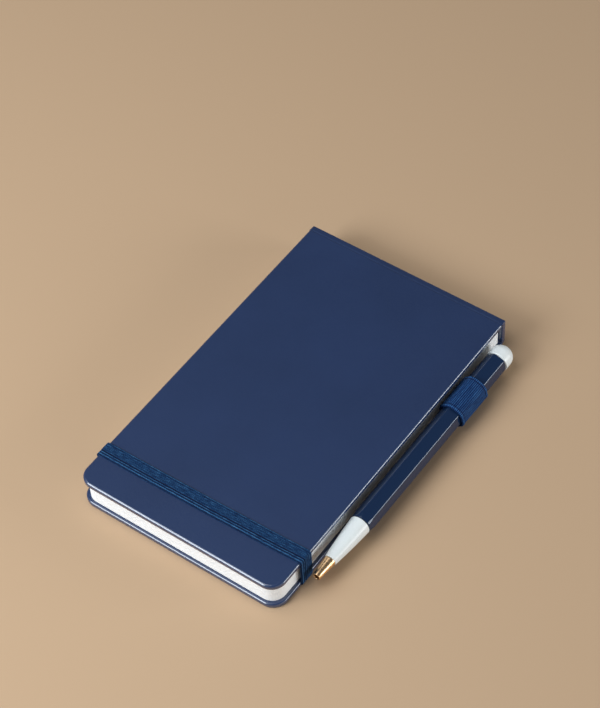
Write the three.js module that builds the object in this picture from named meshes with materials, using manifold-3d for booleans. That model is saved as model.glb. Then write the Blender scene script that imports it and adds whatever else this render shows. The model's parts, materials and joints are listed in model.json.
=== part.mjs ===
// A pocket notepad bound along its short edge, with hard covers, an elastic closure band, and an elastic
// loop on its long side that holds a hexagonal twist pen.
// Millimetres. The origin is the centre of the back cover's underside. +X is the pen's side, +Y the spine,
// -Y the end that opens, and +Z is up, from the back cover to the front cover.
import * as THREE from "three";
import { mergeVertices } from "three/addons/utils/BufferGeometryUtils.js";
import Module from "manifold-3d";

// ---- Driving dimensions: the pad ----
const PAD_WIDTH = 90;
const PAD_LENGTH = 150;
const PAD_HEIGHT = 13.6;
const COVER_THICKNESS = 2.2;
const COVERING = 0.3; // thickness of the covering paper glued over the boards
const TURN_IN = 12; // how far the covering is folded over onto a board's inner face
const COVER_CORNER = 6; // plan radius of the covers' two free corners
const PAGE_CORNER = 5.5;
const LEAST_CORNER = 1; // a corner drawn inwards stays at least this round
const LAYER_GAP = 0.05; // air between two layers that lie on each other
const HINGE_FROM_REAR = 2.7; // the front crease, ahead of the spine's outer face
const PAGE_OVERHANG = 1.3; // the covers beyond the pages, at the sides and the free end
const PAGES_FROM_CREASE = 0.7; // the page block's rear edge, ahead of the front crease
const PAPER = 0.1; // thickness of an endpaper or flyleaf
const ENDPAPER_INSET = 2; // the pasted endpapers inside the covers' edges
const PASTEDOWN_FROM_END = 0.5; // the front pastedown's rear edge, ahead of the front cover's
const CARD = 0.25; // thickness of the pocket's card
const POCKET_INSET = 3; // the pocket inside the back cover's sides
const POCKET_FROM_FREE_END = 30; // the pocket's mouth, from the free end
const POCKET_ROOM = 0.3; // air round the pocket, inside the section that lies on it
const GUSSET_WIDTH = 6; // the folded card along three sides of the pocket
const PANEL_FROM_MOUTH = 2; // the pocket's panel starts this far behind the gusset's ends
const SECTIONS = 6; // folded and sewn sections of the page block

// ---- Driving dimensions: the spine ----
const SPINE_THICKNESS = 2.3;
const SPINE_LIFT = 0.8; // the spine's lower edge above the table
const SPINE_LOWER_RADIUS = 1.6;
const SPINE_TOP_DROP = 0.1; // the spine's top below the front cover's top, at the crease
const SPINE_TOP_SLOPE = 0.3; // further drop from the crease to the rear
const SPINE_RIM = 0.3; // bevel along the spine's top rear edge
const SPINE_TURN_IN = 2.2; // covering folded in at the spine board's top and bottom
const SPINE_BOARD_DROP = 1.05; // the spine board's top below the front cover's top
const SPINE_ROOT = 2; // how far the spine's covering reaches forward into the back cover, from the crease
const SPINE_RISE = { start: -0.5, end: 0.3 }; // where the underside rises to the spine, from the crease
const BACK_BOARD_FROM_CREASE = 1.2; // the back board's rear end, ahead of the crease

// ---- Driving dimensions: the binding ----
const THREAD_WIDTH = 0.4;
const THREAD_DEPTH = 0.25;
const THREAD_STATIONS = [-30, -10, 10, 30];
const LINING_THICKNESS = 0.2;
const LINING_INSET = 3; // the gauze inside the page block's sides

// ---- Driving dimensions: the closure band ----
const BAND_WIDTH = 6.5;
const BAND_THICKNESS = 0.7;
const BAND_Y = -58.2; // the band's centre line where it crosses the middle of the pad
const BAND_SHEAR = 0.021; // the band lies a little askew: its Y grows by this much for each mm of X
const BAND_ROOM = 0.3; // clearance round the band in its channel and slots
const SLOT_X = 35.5; // how far from the middle the band passes up through the back cover

// ---- Driving dimensions: the pen and its loop ----
const PEN_X = 49.9;
const PEN_Z = 6.0;
const PEN_TIP_Y = -57.7;
const PEN_LENGTH = 126;
const NOZZLE_LENGTH = 8.5;
const CONE_END = 27.7; // where the cone meets the barrel, from the tip
const BARREL_END = 118.5; // where the barrel meets the knob, from the tip
const HEX_FLATS = 8.1;
const HEX_EDGE_RADIUS = 1;
const HEX_TURN = THREE.MathUtils.degToRad(70); // one flat's normal, from +X towards +Z
const BARREL_BORE = 3.4;
const BARREL_RADIUS = { atCone: 4.1, atKnob: 4.35 }; // where the facets have run out at the barrel's ends
const FACET_RUN_OUT = { atCone: 5.5, atKnob: 2 }; // length over which they do
const PEN_GAP = 0.1; // running and glue clearance inside the pen
const NOZZLE_RADIUS = { start: 1.55, end: 2.3, spigot: 1.7 };
const NOZZLE_BORE = { start: 1.15, end: 1.25 };
const NOZZLE_BEVEL = 0.1;
const NOZZLE_SPIGOT_END = 12;
const CONE_RADIUS = { start: 2.45, end: 4.15 };
const CONE_BORE = { nose: 1.8, body: 2.6 };
const CONE_RIM = { width: 0.5, depth: 0.15 }; // the rounded edge beside the barrel
const CONE_SPIGOT_LENGTH = 8.3; // the part of the cone's piece inside the barrel
const SPRING_SEAT = 14; // the shoulder in the cone that carries the spring
const SEAT_SLOPE = 1.5;
const SLEEVE_START = 83;
const SLEEVE_END = 111;
const SLEEVE_BORE = 2.5;
const SHAFT_START = 98;
const SHAFT_END = 111.9;
const SHAFT_RADIUS = 2.4;
const SHAFT_BORE = { mouth: 1.4, end: 0.4, depth: 10.9, endLength: 2 };
const KNOB_RADIUS = 4.7;
const KNOB_BEVEL = { width: 0.2, depth: 0.15 };
const KNOB_STUB_START = 112;
const KNOB_STUB_RADIUS = 3.2;
const KNOB_DOME = 4.2; // length of the rounded end
const REFILL_TIP_START = 1.2;
const REFILL_TIP_RADIUS = { ball: 0.3, point: 0.5, body: 1 };
const REFILL_TIP_LENGTH = { point: 1, taper: 2.8 };
const REFILL_TUBE_START = 17;
const REFILL_TUBE_RADIUS = 1.6;
const REFILL_COLLAR = { start: 30, length: 1.5, radius: 2.35 };
const REFILL_END = 88;
const PUSHER_HEAD = { radius: 2.3, end: 94 };
const PUSHER_ROD = { radius: 1.2, length: 11 };
const SPRING = { wire: 0.2, radius: 2.05, turns: 8, startGap: 0.4, endGap: 0.3 };
const LOOP_START = 29.5;
const LOOP_WIDTH = 16.8;
const LOOP_OUTER = 5.8;
const LOOP_WALL = 0.95;
const LOOP_STRIP = 0.6; // thickness of the strip that joins the loop to the back cover
const STRIP_IN_LOOP = 2.4; // how far the strip runs in under the loop's round
const TAB_INNER_X = 22;
const TAB_OUTER_X = 36.7;

// ---- Places worked out from the dimensions above ----
const HALF_WIDTH = PAD_WIDTH / 2;
const FREE_Y = -PAD_LENGTH / 2;
const REAR_Y = PAD_LENGTH / 2;
const HINGE_Y = REAR_Y - HINGE_FROM_REAR;
const FRONT_Z = PAD_HEIGHT - COVER_THICKNESS; // inner face of the front cover
const COVER_END_Y = HINGE_Y - 2 * LAYER_GAP;
const SPINE_INNER_Y = REAR_Y - SPINE_THICKNESS;
const PAGE_END_Y = HINGE_Y - PAGES_FROM_CREASE;
const SPINE_BOARD_Z = [COVER_THICKNESS + COVERING, PAD_HEIGHT - SPINE_BOARD_DROP];
const BOARD_INSET = COVERING + LAYER_GAP;
const SEGMENTS = { round: 32, corner: 6, hexCorner: 3, dome: 7, wire: 3, coil: 12 };
const OVERRUN = 1; // a cutting tool runs this far past the face that it opens

const COLOURS = {
  covering: { color: 0x2d3c64, roughness: 0.55, metalness: 0 },
  board: { color: 0x8f8a80, roughness: 0.95, metalness: 0 },
  paper: { color: 0xf6f2e6, roughness: 0.9, metalness: 0 },
  endpaper: { color: 0xf1ece0, roughness: 0.85, metalness: 0 },
  elastic: { color: 0x143c6e, roughness: 0.8, metalness: 0 },
  thread: { color: 0xe8e4d8, roughness: 0.8, metalness: 0 },
  lacquer: { color: 0x192a47, roughness: 0.2, metalness: 0.3 },
  white_plastic: { color: 0xdee8e8, roughness: 0.35, metalness: 0 },
  brass: { color: 0xc8965a, roughness: 0.2, metalness: 1 },
  steel: { color: 0xb8bcc0, roughness: 0.3, metalness: 1 },
};

// ---- Solids ----
const manifold = await Module();
manifold.setup();

// A closed geometry as a solid that can be joined and cut.
function solidOf(geometry) {
  const plain = geometry.clone();
  plain.deleteAttribute("normal");
  plain.deleteAttribute("uv");
  const merged = mergeVertices(plain, 1e-4);
  const vertProperties = merged.attributes.position.array;
  const triVerts = new Uint32Array(merged.index.array);
  return new manifold.Manifold(new manifold.Mesh({ numProp: 3, vertProperties, triVerts }));
}

// A solid as a geometry that three.js can draw.
function geometryOf(solid) {
  const mesh = solid.getMesh();
  const geometry = new THREE.BufferGeometry();
  geometry.setAttribute("position", new THREE.BufferAttribute(mesh.vertProperties, 3));
  geometry.setIndex(new THREE.BufferAttribute(mesh.triVerts, 1));
  geometry.computeVertexNormals();
  return geometry;
}

function cut(body, ...tools) {
  return geometryOf(tools.reduce((rest, tool) => rest.subtract(solidOf(tool)), solidOf(body)));
}

function join(body, ...others) {
  return geometryOf(others.reduce((whole, other) => whole.add(solidOf(other)), solidOf(body)));
}

function common(body, other) {
  return geometryOf(solidOf(body).intersect(solidOf(other)));
}

// A block between two corners.
function block([x0, y0, z0], [x1, y1, z1]) {
  const geometry = new THREE.BoxGeometry(x1 - x0, y1 - y0, z1 - z0);
  return geometry.translate((x0 + x1) / 2, (y0 + y1) / 2, (z0 + z1) / 2);
}

// The pad's outline seen from above, drawn in by an inset: round at the free corners, square at the spine.
function padOutline(inset, endY, radius = Math.max(COVER_CORNER - inset, LEAST_CORNER)) {
  const x = HALF_WIDTH - inset;
  const y = FREE_Y + inset;
  const shape = new THREE.Shape();
  shape.moveTo(x, endY);
  shape.lineTo(-x, endY);
  shape.absarc(-x + radius, y + radius, radius, Math.PI, 1.5 * Math.PI);
  shape.absarc(x - radius, y + radius, radius, 1.5 * Math.PI, 2 * Math.PI);
  shape.closePath();
  return shape;
}

// A flat piece with a given outline, from one height to another.
function plate(outline, z0, z1) {
  const options = { depth: z1 - z0, bevelEnabled: false, curveSegments: SEGMENTS.corner };
  return new THREE.ExtrudeGeometry(outline, options).translate(0, 0, z0);
}

// A prism along X whose outline is drawn in Y and Z.
function prismAlongX(outline, x0, x1) {
  const options = { depth: x1 - x0, bevelEnabled: false, curveSegments: SEGMENTS.corner };
  const turn = new THREE.Matrix4().makeBasis(
    new THREE.Vector3(0, 1, 0),
    new THREE.Vector3(0, 0, 1),
    new THREE.Vector3(1, 0, 0),
  );
  return new THREE.ExtrudeGeometry(outline, options).translate(0, 0, x0).applyMatrix4(turn);
}

// A prism along Y whose outline is drawn in X and Z.
function prismAlongY(outline, y0, y1, curveSegments = SEGMENTS.corner) {
  const options = { depth: y1 - y0, bevelEnabled: false, curveSegments };
  const turn = new THREE.Matrix4().makeBasis(
    new THREE.Vector3(1, 0, 0),
    new THREE.Vector3(0, 0, 1),
    new THREE.Vector3(0, -1, 0),
  );
  return new THREE.ExtrudeGeometry(outline, options).translate(0, 0, -y1).applyMatrix4(turn);
}

// A turned piece on the Y axis. The profile holds [radius, y] points, going up the outside and back down
// the bore, or from axis to axis for a piece with no bore.
function turned(profile) {
  const bored = profile[0][0] > 0;
  const points = (bored ? [...profile, profile[0]] : profile).map(([r, y]) => new THREE.Vector2(r, y));
  return new THREE.LatheGeometry(points, SEGMENTS.round);
}

const model = new THREE.Group();

function add(name, geometry, finish, parent = model) {
  const mesh = new THREE.Mesh(geometry, new THREE.MeshStandardMaterial(COLOURS[finish]));
  mesh.name = name;
  parent.add(mesh);
}

// ---- Covers and spine ----

// The shallow channel under the back cover for one end of the band, and the slot where the band goes in.
// Both can be grown, to leave the covering or a gap round them.
function bandChannel(side, grow) {
  const reach = BAND_WIDTH / 2 + BAND_ROOM + grow;
  const outer = HALF_WIDTH + OVERRUN;
  const inner = SLOT_X - grow;
  const depth = BAND_THICKNESS + 2 * LAYER_GAP + grow;
  const [x0, x1] = side > 0 ? [inner, outer] : [-outer, -inner];
  return shear(block([x0, BAND_Y - reach, -OVERRUN], [x1, BAND_Y + reach, depth]));
}

function bandSlot(side, grow) {
  const reach = BAND_WIDTH / 2 + BAND_ROOM + grow;
  const near = SLOT_X - grow;
  const far = SLOT_X + BAND_THICKNESS + 2 * LAYER_GAP + grow;
  const [x0, x1] = side > 0 ? [near, far] : [-far, -near];
  return shear(block([x0, BAND_Y - reach, -OVERRUN], [x1, BAND_Y + reach, COVER_THICKNESS + OVERRUN]));
}

// Slides each point along Y in proportion to its X, as the band lies askew across the pad.
function shear(geometry) {
  return geometry.applyMatrix4(new THREE.Matrix4().makeShear(BAND_SHEAR, 0, 0, 0, 0, 0));
}

// The recess in the back cover's inner face for the pen loop's tab, open at the long side.
function tabRecess(grow) {
  const z0 = COVER_THICKNESS - LOOP_STRIP - LAYER_GAP - grow;
  const y0 = LOOP_START - BAND_ROOM - grow;
  const y1 = LOOP_START + LOOP_WIDTH + BAND_ROOM + grow;
  const high = [HALF_WIDTH + OVERRUN, y1, COVER_THICKNESS + OVERRUN];
  return block([TAB_INNER_X - BAND_ROOM - grow, y0, z0], high);
}

// The spine's cross-section in Y and Z, reaching a little way into the back cover's end.
function spineOutline() {
  const topFront = PAD_HEIGHT - SPINE_TOP_DROP;
  const topRear = topFront - SPINE_TOP_SLOPE;
  const foot = SPINE_LIFT + SPINE_LOWER_RADIUS;
  const outline = new THREE.Shape();
  outline.moveTo(HINGE_Y - SPINE_ROOT, 0);
  outline.lineTo(HINGE_Y + SPINE_RISE.start, 0);
  outline.lineTo(HINGE_Y + SPINE_RISE.end, SPINE_LIFT);
  outline.absarc(REAR_Y - SPINE_LOWER_RADIUS, foot, SPINE_LOWER_RADIUS, 1.5 * Math.PI, 2 * Math.PI);
  outline.lineTo(REAR_Y, topRear - SPINE_RIM);
  outline.lineTo(REAR_Y - SPINE_RIM, topRear);
  outline.lineTo(HINGE_Y + 2 * LAYER_GAP, topFront);
  outline.lineTo(HINGE_Y + 2 * LAYER_GAP, topFront - COVERING);
  outline.lineTo(SPINE_INNER_Y, topFront - 2 * COVERING);
  outline.lineTo(SPINE_INNER_Y, COVER_THICKNESS);
  outline.lineTo(HINGE_Y - SPINE_ROOT, COVER_THICKNESS);
  outline.closePath();
  return outline;
}

function addFrontCover() {
  const outer = plate(padOutline(0, COVER_END_Y), FRONT_Z, PAD_HEIGHT);
  const boardEnd = COVER_END_Y - COVERING;
  const hollow = plate(padOutline(COVERING, boardEnd), FRONT_Z + COVERING, PAD_HEIGHT - COVERING);
  const windowOutline = padOutline(TURN_IN, COVER_END_Y - TURN_IN);
  const window = plate(windowOutline, FRONT_Z - OVERRUN, FRONT_Z + 2 * COVERING);
  add("front_cover_wrap", cut(outer, hollow, window), "covering");
  const z0 = FRONT_Z + BOARD_INSET;
  const z1 = PAD_HEIGHT - BOARD_INSET;
  add("front_board", plate(padOutline(BOARD_INSET, boardEnd - LAYER_GAP), z0, z1), "board");
  const pasteTop = FRONT_Z - LAYER_GAP;
  const pasteOutline = padOutline(ENDPAPER_INSET, COVER_END_Y - PASTEDOWN_FROM_END);
  add("front_pastedown", plate(pasteOutline, pasteTop - PAPER, pasteTop), "endpaper");
}

function addBackCoverAndSpine() {
  const slab = plate(padOutline(0, HINGE_Y - SPINE_ROOT / 2), 0, COVER_THICKNESS);
  const whole = join(slab, prismAlongX(spineOutline(), -HALF_WIDTH, HALF_WIDTH));
  const boardEnd = HINGE_Y - BACK_BOARD_FROM_CREASE;
  const sides = [-1, 1];
  const channels = sides.map((side) => bandChannel(side, 0));
  const slots = sides.map((side) => bandSlot(side, 0));
  const lined = sides.flatMap((side) => [bandChannel(side, COVERING), bandSlot(side, COVERING)]);
  const hollowOutline = padOutline(COVERING, boardEnd);
  const hollow = cut(plate(hollowOutline, COVERING, COVER_THICKNESS - COVERING), ...lined);
  const windowOutline = padOutline(TURN_IN, boardEnd - TURN_IN);
  const window = plate(windowOutline, COVER_THICKNESS - 2 * COVERING, COVER_THICKNESS + OVERRUN);
  const [z0, z1] = SPINE_BOARD_Z;
  const inner = SPINE_INNER_Y + COVERING;
  const end = HALF_WIDTH - COVERING;
  const spineHollow = block([-end, inner, z0], [end, REAR_Y - COVERING, z1]);
  const windowX = HALF_WIDTH - TURN_IN;
  const low = [-windowX, SPINE_INNER_Y - OVERRUN, z0 + SPINE_TURN_IN];
  const high = [windowX, inner + COVERING, z1 - SPINE_TURN_IN];
  const spineWindow = block(low, high);
  const holes = [hollow, window, spineHollow, spineWindow, tabRecess(0), ...channels, ...slots];
  add("back_cover_wrap", cut(whole, ...holes), "covering");

  const boardOutline = padOutline(BOARD_INSET, boardEnd - LAYER_GAP);
  const board = plate(boardOutline, BOARD_INSET, COVER_THICKNESS - BOARD_INSET);
  const linedWider = sides.flatMap((side) => [bandChannel(side, BOARD_INSET), bandSlot(side, BOARD_INSET)]);
  add("back_board", cut(board, tabRecess(LAYER_GAP), ...linedWider), "board");
  const boardLow = [-end + LAYER_GAP, inner + LAYER_GAP, z0 + LAYER_GAP];
  const boardHigh = [end - LAYER_GAP, REAR_Y - COVERING - LAYER_GAP, z1 - LAYER_GAP];
  add("spine_board", block(boardLow, boardHigh), "board");
}

// ---- Endpaper, pocket and page block ----

function addBackEndpaper() {
  const bottom = COVER_THICKNESS + LAYER_GAP;
  const top = bottom + PAPER;
  add("back_endpaper", plate(padOutline(ENDPAPER_INSET, PAGE_END_Y), bottom, top), "endpaper");
  return top;
}

// The accordion gusset: a folded strip round three sides of the pocket, open towards the free end.
function gussetOutline() {
  const x = HALF_WIDTH - POCKET_INSET;
  const endY = PAGE_END_Y - POCKET_INSET;
  const startY = FREE_Y + POCKET_FROM_FREE_END;
  const shape = new THREE.Shape();
  shape.moveTo(x, endY);
  shape.lineTo(-x, endY);
  shape.lineTo(-x, startY);
  shape.lineTo(-x + GUSSET_WIDTH, startY);
  shape.lineTo(-x + GUSSET_WIDTH, endY - GUSSET_WIDTH);
  shape.lineTo(x - GUSSET_WIDTH, endY - GUSSET_WIDTH);
  shape.lineTo(x - GUSSET_WIDTH, startY);
  shape.lineTo(x, startY);
  shape.closePath();
  return shape;
}

function addPocket(bottom) {
  const gussetTop = bottom + CARD;
  add("pocket_gusset", plate(gussetOutline(), bottom, gussetTop), "endpaper");
  const panelBottom = gussetTop + LAYER_GAP;
  const panelTop = panelBottom + CARD;
  const x = HALF_WIDTH - POCKET_INSET;
  const low = [-x, FREE_Y + POCKET_FROM_FREE_END + PANEL_FROM_MOUTH, panelBottom];
  const high = [x, PAGE_END_Y - POCKET_INSET, panelTop];
  add("pocket_panel", block(low, high), "endpaper");
  return panelTop;
}

// The sections lie on each other, and the last one is pressed hollow over the pocket.
function addPageBlock(bottom, pocketTop) {
  const leafTop = FRONT_Z - PAPER - 2 * LAYER_GAP;
  const leafBottom = leafTop - PAPER;
  const top = leafBottom - LAYER_GAP;
  const outline = padOutline(PAGE_OVERHANG, PAGE_END_Y, PAGE_CORNER);
  add("flyleaf", plate(outline, leafBottom, leafTop), "endpaper");
  const pitch = (top - bottom + LAYER_GAP) / SECTIONS;
  for (let i = 1; i < SECTIONS; i += 1) {
    const z1 = top - (i - 1) * pitch;
    add(`section_${i}`, plate(outline, z1 - pitch + LAYER_GAP, z1), "paper");
  }
  const x = HALF_WIDTH - POCKET_INSET + POCKET_ROOM;
  const low = [-x, FREE_Y + POCKET_FROM_FREE_END - POCKET_ROOM, bottom - OVERRUN];
  const high = [x, PAGE_END_Y + OVERRUN, pocketTop + LAYER_GAP];
  const last = plate(outline, bottom, bottom + pitch - LAYER_GAP);
  add(`section_${SECTIONS}`, cut(last, block(low, high)), "paper");
  addBinding(pocketTop + LAYER_GAP, top - pitch);
}

// The threads that tie the sections together, and the gauze glued over them.
function addBinding(z0, z1) {
  const y = PAGE_END_Y + LAYER_GAP;
  THREAD_STATIONS.forEach((x, i) => {
    const low = [x - THREAD_WIDTH / 2, y, z0];
    const high = [x + THREAD_WIDTH / 2, y + THREAD_DEPTH, z1];
    add(`sewing_thread_${i + 1}`, block(low, high), "thread");
  });
  const liningY = y + THREAD_DEPTH + LAYER_GAP;
  const liningX = HALF_WIDTH - LINING_INSET;
  const lining = block([-liningX, liningY, z0], [liningX, liningY + LINING_THICKNESS, z1]);
  add("spine_lining", lining, "thread");
}

// ---- Closure band ----

// The band seen from the free end: over the front cover, down both sides, and in under the back cover.
function bandOutline() {
  const inner = HALF_WIDTH + LAYER_GAP;
  const outer = inner + BAND_THICKNESS;
  const low = LAYER_GAP;
  const returnTop = low + BAND_THICKNESS;
  const under = PAD_HEIGHT + LAYER_GAP;
  const returnX = SLOT_X + LAYER_GAP;
  const shape = new THREE.Shape();
  shape.moveTo(outer, low);
  shape.lineTo(outer, under + BAND_THICKNESS);
  shape.lineTo(-outer, under + BAND_THICKNESS);
  shape.lineTo(-outer, low);
  shape.lineTo(-returnX, low);
  shape.lineTo(-returnX, returnTop);
  shape.lineTo(-inner, returnTop);
  shape.lineTo(-inner, under);
  shape.lineTo(inner, under);
  shape.lineTo(inner, returnTop);
  shape.lineTo(returnX, returnTop);
  shape.lineTo(returnX, low);
  shape.closePath();
  return shape;
}

function addBand() {
  const y0 = BAND_Y - BAND_WIDTH / 2;
  const y1 = BAND_Y + BAND_WIDTH / 2;
  add("closure_band", shear(prismAlongY(bandOutline(), y0, y1)), "elastic");
  const low = BAND_THICKNESS + 2 * LAYER_GAP;
  const high = COVER_THICKNESS - LAYER_GAP;
  const near = SLOT_X + LAYER_GAP;
  const far = near + BAND_THICKNESS;
  add("band_end_right", shear(block([near, y0, low], [far, y1, high])), "elastic");
  add("band_end_left", shear(block([-far, y0, low], [-near, y1, high])), "elastic");
}

// ---- Pen loop ----

function addPenLoop() {
  const loopEnd = LOOP_START + LOOP_WIDTH;
  const ring = new THREE.Shape();
  ring.absarc(PEN_X, PEN_Z, LOOP_OUTER, 0, 2 * Math.PI);
  const hole = new THREE.Path();
  hole.absarc(PEN_X, PEN_Z, LOOP_OUTER - LOOP_WALL, 0, 2 * Math.PI, true);
  ring.holes.push(hole);
  const sleeve = prismAlongY(ring, LOOP_START, loopEnd, SEGMENTS.round);
  const z0 = COVER_THICKNESS - LOOP_STRIP;
  const meet = PEN_X - LOOP_OUTER + STRIP_IN_LOOP;
  const stripStart = TAB_OUTER_X + LAYER_GAP;
  const strip = block([stripStart, LOOP_START, z0], [meet, loopEnd, COVER_THICKNESS]);
  add("pen_loop", join(sleeve, strip), "elastic");
  const tab = block([TAB_INNER_X, LOOP_START, z0], [TAB_OUTER_X, loopEnd, COVER_THICKNESS]);
  add("pen_loop_tab", tab, "endpaper");
}

// ---- Pen: its own Y runs from the tip to the knob ----

function hexagon() {
  const reach = (HEX_FLATS / 2 - HEX_EDGE_RADIUS) / Math.cos(Math.PI / 6);
  const shape = new THREE.Shape();
  for (let i = 0; i < 6; i += 1) {
    const corner = HEX_TURN + (i + 0.5) * (Math.PI / 3);
    const x = reach * Math.cos(corner);
    const z = reach * Math.sin(corner);
    shape.absarc(x, z, HEX_EDGE_RADIUS, corner - Math.PI / 6, corner + Math.PI / 6);
  }
  shape.closePath();
  return shape;
}

// The hexagonal barrel runs out to round at both ends, where it meets the cone and the knob.
function addBarrel(pen) {
  const start = CONE_END + PEN_GAP;
  const end = BARREL_END;
  const sharpCorner = HEX_FLATS / Math.sqrt(3);
  const envelope = turned([
    [BARREL_BORE, start],
    [BARREL_RADIUS.atCone, start],
    [sharpCorner, start + FACET_RUN_OUT.atCone],
    [sharpCorner, end - FACET_RUN_OUT.atKnob],
    [BARREL_RADIUS.atKnob, end],
    [BARREL_BORE, end],
  ]);
  const prism = prismAlongY(hexagon(), start - OVERRUN, end + OVERRUN, SEGMENTS.hexCorner);
  add("pen_barrel", common(prism, envelope), "lacquer", pen);
}

function addCone(pen) {
  const start = NOZZLE_LENGTH + PEN_GAP;
  const spigotRadius = BARREL_BORE - PEN_GAP;
  const spigotEnd = CONE_END + CONE_SPIGOT_LENGTH;
  add("pen_cone", turned([
    [CONE_BORE.nose, start],
    [CONE_RADIUS.start, start],
    [CONE_RADIUS.end, CONE_END - CONE_RIM.width],
    [CONE_RADIUS.end - CONE_RIM.depth, CONE_END],
    [spigotRadius, CONE_END],
    [spigotRadius, spigotEnd],
    [CONE_BORE.body, spigotEnd],
    [CONE_BORE.body, SPRING_SEAT],
    [CONE_BORE.nose, SPRING_SEAT - SEAT_SLOPE],
  ]), "white_plastic", pen);
}

function addNozzle(pen) {
  add("pen_nozzle", turned([
    [NOZZLE_BORE.start, 0],
    [NOZZLE_RADIUS.start - NOZZLE_BEVEL, 0],
    [NOZZLE_RADIUS.start, NOZZLE_BEVEL],
    [NOZZLE_RADIUS.end, NOZZLE_LENGTH],
    [NOZZLE_RADIUS.spigot, NOZZLE_LENGTH],
    [NOZZLE_RADIUS.spigot, NOZZLE_SPIGOT_END],
    [NOZZLE_BORE.end, NOZZLE_SPIGOT_END],
  ]), "brass", pen);
}

function addTwistMechanism(pen) {
  const sleeveRadius = BARREL_BORE - PEN_GAP;
  add("cam_sleeve", turned([
    [SLEEVE_BORE, SLEEVE_START],
    [sleeveRadius, SLEEVE_START],
    [sleeveRadius, SLEEVE_END],
    [SLEEVE_BORE, SLEEVE_END],
  ]), "steel", pen);
  const boreEnd = SHAFT_START + SHAFT_BORE.depth;
  add("twist_shaft", turned([
    [SHAFT_BORE.mouth, SHAFT_START],
    [SHAFT_RADIUS, SHAFT_START],
    [SHAFT_RADIUS, SHAFT_END],
    [SHAFT_BORE.end, SHAFT_END],
    [SHAFT_BORE.end, SHAFT_END - SHAFT_BORE.endLength],
    [SHAFT_BORE.mouth, boreEnd],
  ]), "brass", pen);
}

// The knob: a dome outside, and a stub that turns inside the barrel's end.
function addKnob(pen) {
  const shoulder = BARREL_END + 2 * PEN_GAP;
  const domeStart = PEN_LENGTH - KNOB_DOME;
  const profile = [
    [0, KNOB_STUB_START],
    [KNOB_STUB_RADIUS, KNOB_STUB_START],
    [KNOB_STUB_RADIUS, shoulder],
    [KNOB_RADIUS - KNOB_BEVEL.depth, shoulder],
    [KNOB_RADIUS, shoulder + KNOB_BEVEL.width],
  ];
  for (let i = 0; i < SEGMENTS.dome; i += 1) {
    const angle = (i / SEGMENTS.dome) * (Math.PI / 2);
    profile.push([KNOB_RADIUS * Math.cos(angle), domeStart + KNOB_DOME * Math.sin(angle)]);
  }
  profile.push([0, PEN_LENGTH]);
  add("pen_knob", turned(profile), "white_plastic", pen);
}

function addRefill(pen) {
  const tip = REFILL_TIP_RADIUS;
  const tipEnd = REFILL_TUBE_START - PEN_GAP;
  add("refill_tip", turned([
    [0, REFILL_TIP_START],
    [tip.ball, REFILL_TIP_START],
    [tip.point, REFILL_TIP_START + REFILL_TIP_LENGTH.point],
    [tip.body, REFILL_TIP_START + REFILL_TIP_LENGTH.taper],
    [tip.body, tipEnd],
    [0, tipEnd],
  ]), "steel", pen);
  const collarEnd = REFILL_COLLAR.start + REFILL_COLLAR.length;
  add("refill_tube", turned([
    [0, REFILL_TUBE_START],
    [REFILL_TUBE_RADIUS, REFILL_TUBE_START],
    [REFILL_TUBE_RADIUS, REFILL_COLLAR.start],
    [REFILL_COLLAR.radius, REFILL_COLLAR.start],
    [REFILL_COLLAR.radius, collarEnd],
    [REFILL_TUBE_RADIUS, collarEnd],
    [REFILL_TUBE_RADIUS, REFILL_END],
    [0, REFILL_END],
  ]), "white_plastic", pen);
  const rodEnd = PUSHER_HEAD.end + PUSHER_ROD.length;
  add("refill_pusher", turned([
    [0, REFILL_END + PEN_GAP],
    [PUSHER_HEAD.radius, REFILL_END + PEN_GAP],
    [PUSHER_HEAD.radius, PUSHER_HEAD.end],
    [PUSHER_ROD.radius, PUSHER_HEAD.end],
    [PUSHER_ROD.radius, rodEnd],
    [0, rodEnd],
  ]), "brass", pen);
}

// The coil of the return spring, between the cone's inner seat and the refill's collar.
class Coil extends THREE.Curve {
  getPoint(t, target = new THREE.Vector3()) {
    const start = SPRING_SEAT + SPRING.startGap;
    const end = REFILL_COLLAR.start - SPRING.endGap;
    const angle = t * SPRING.turns * 2 * Math.PI;
    const y = start + t * (end - start);
    return target.set(SPRING.radius * Math.cos(angle), y, SPRING.radius * Math.sin(angle));
  }
}

function addSpring(pen) {
  const section = new THREE.Shape();
  section.absarc(0, 0, SPRING.wire, 0, 2 * Math.PI);
  const steps = SPRING.turns * SEGMENTS.coil;
  const options = { steps, curveSegments: SEGMENTS.wire, extrudePath: new Coil(), bevelEnabled: false };
  add("refill_spring", new THREE.ExtrudeGeometry(section, options), "steel", pen);
}

function addPen() {
  const pen = new THREE.Group();
  pen.position.set(PEN_X, PEN_TIP_Y, PEN_Z);
  model.add(pen);
  addBarrel(pen);
  addCone(pen);
  addNozzle(pen);
  addTwistMechanism(pen);
  addKnob(pen);
  addRefill(pen);
  addSpring(pen);
}

addBackCoverAndSpine();
const endpaperTop = addBackEndpaper();
const pocketTop = addPocket(endpaperTop + LAYER_GAP);
addPageBlock(endpaperTop + LAYER_GAP, pocketTop);
addFrontCover();
addBand();
addPenLoop();
addPen();

export default model;
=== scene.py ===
import json
import math
import random

import bmesh
import bpy
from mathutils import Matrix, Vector, noise


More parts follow.
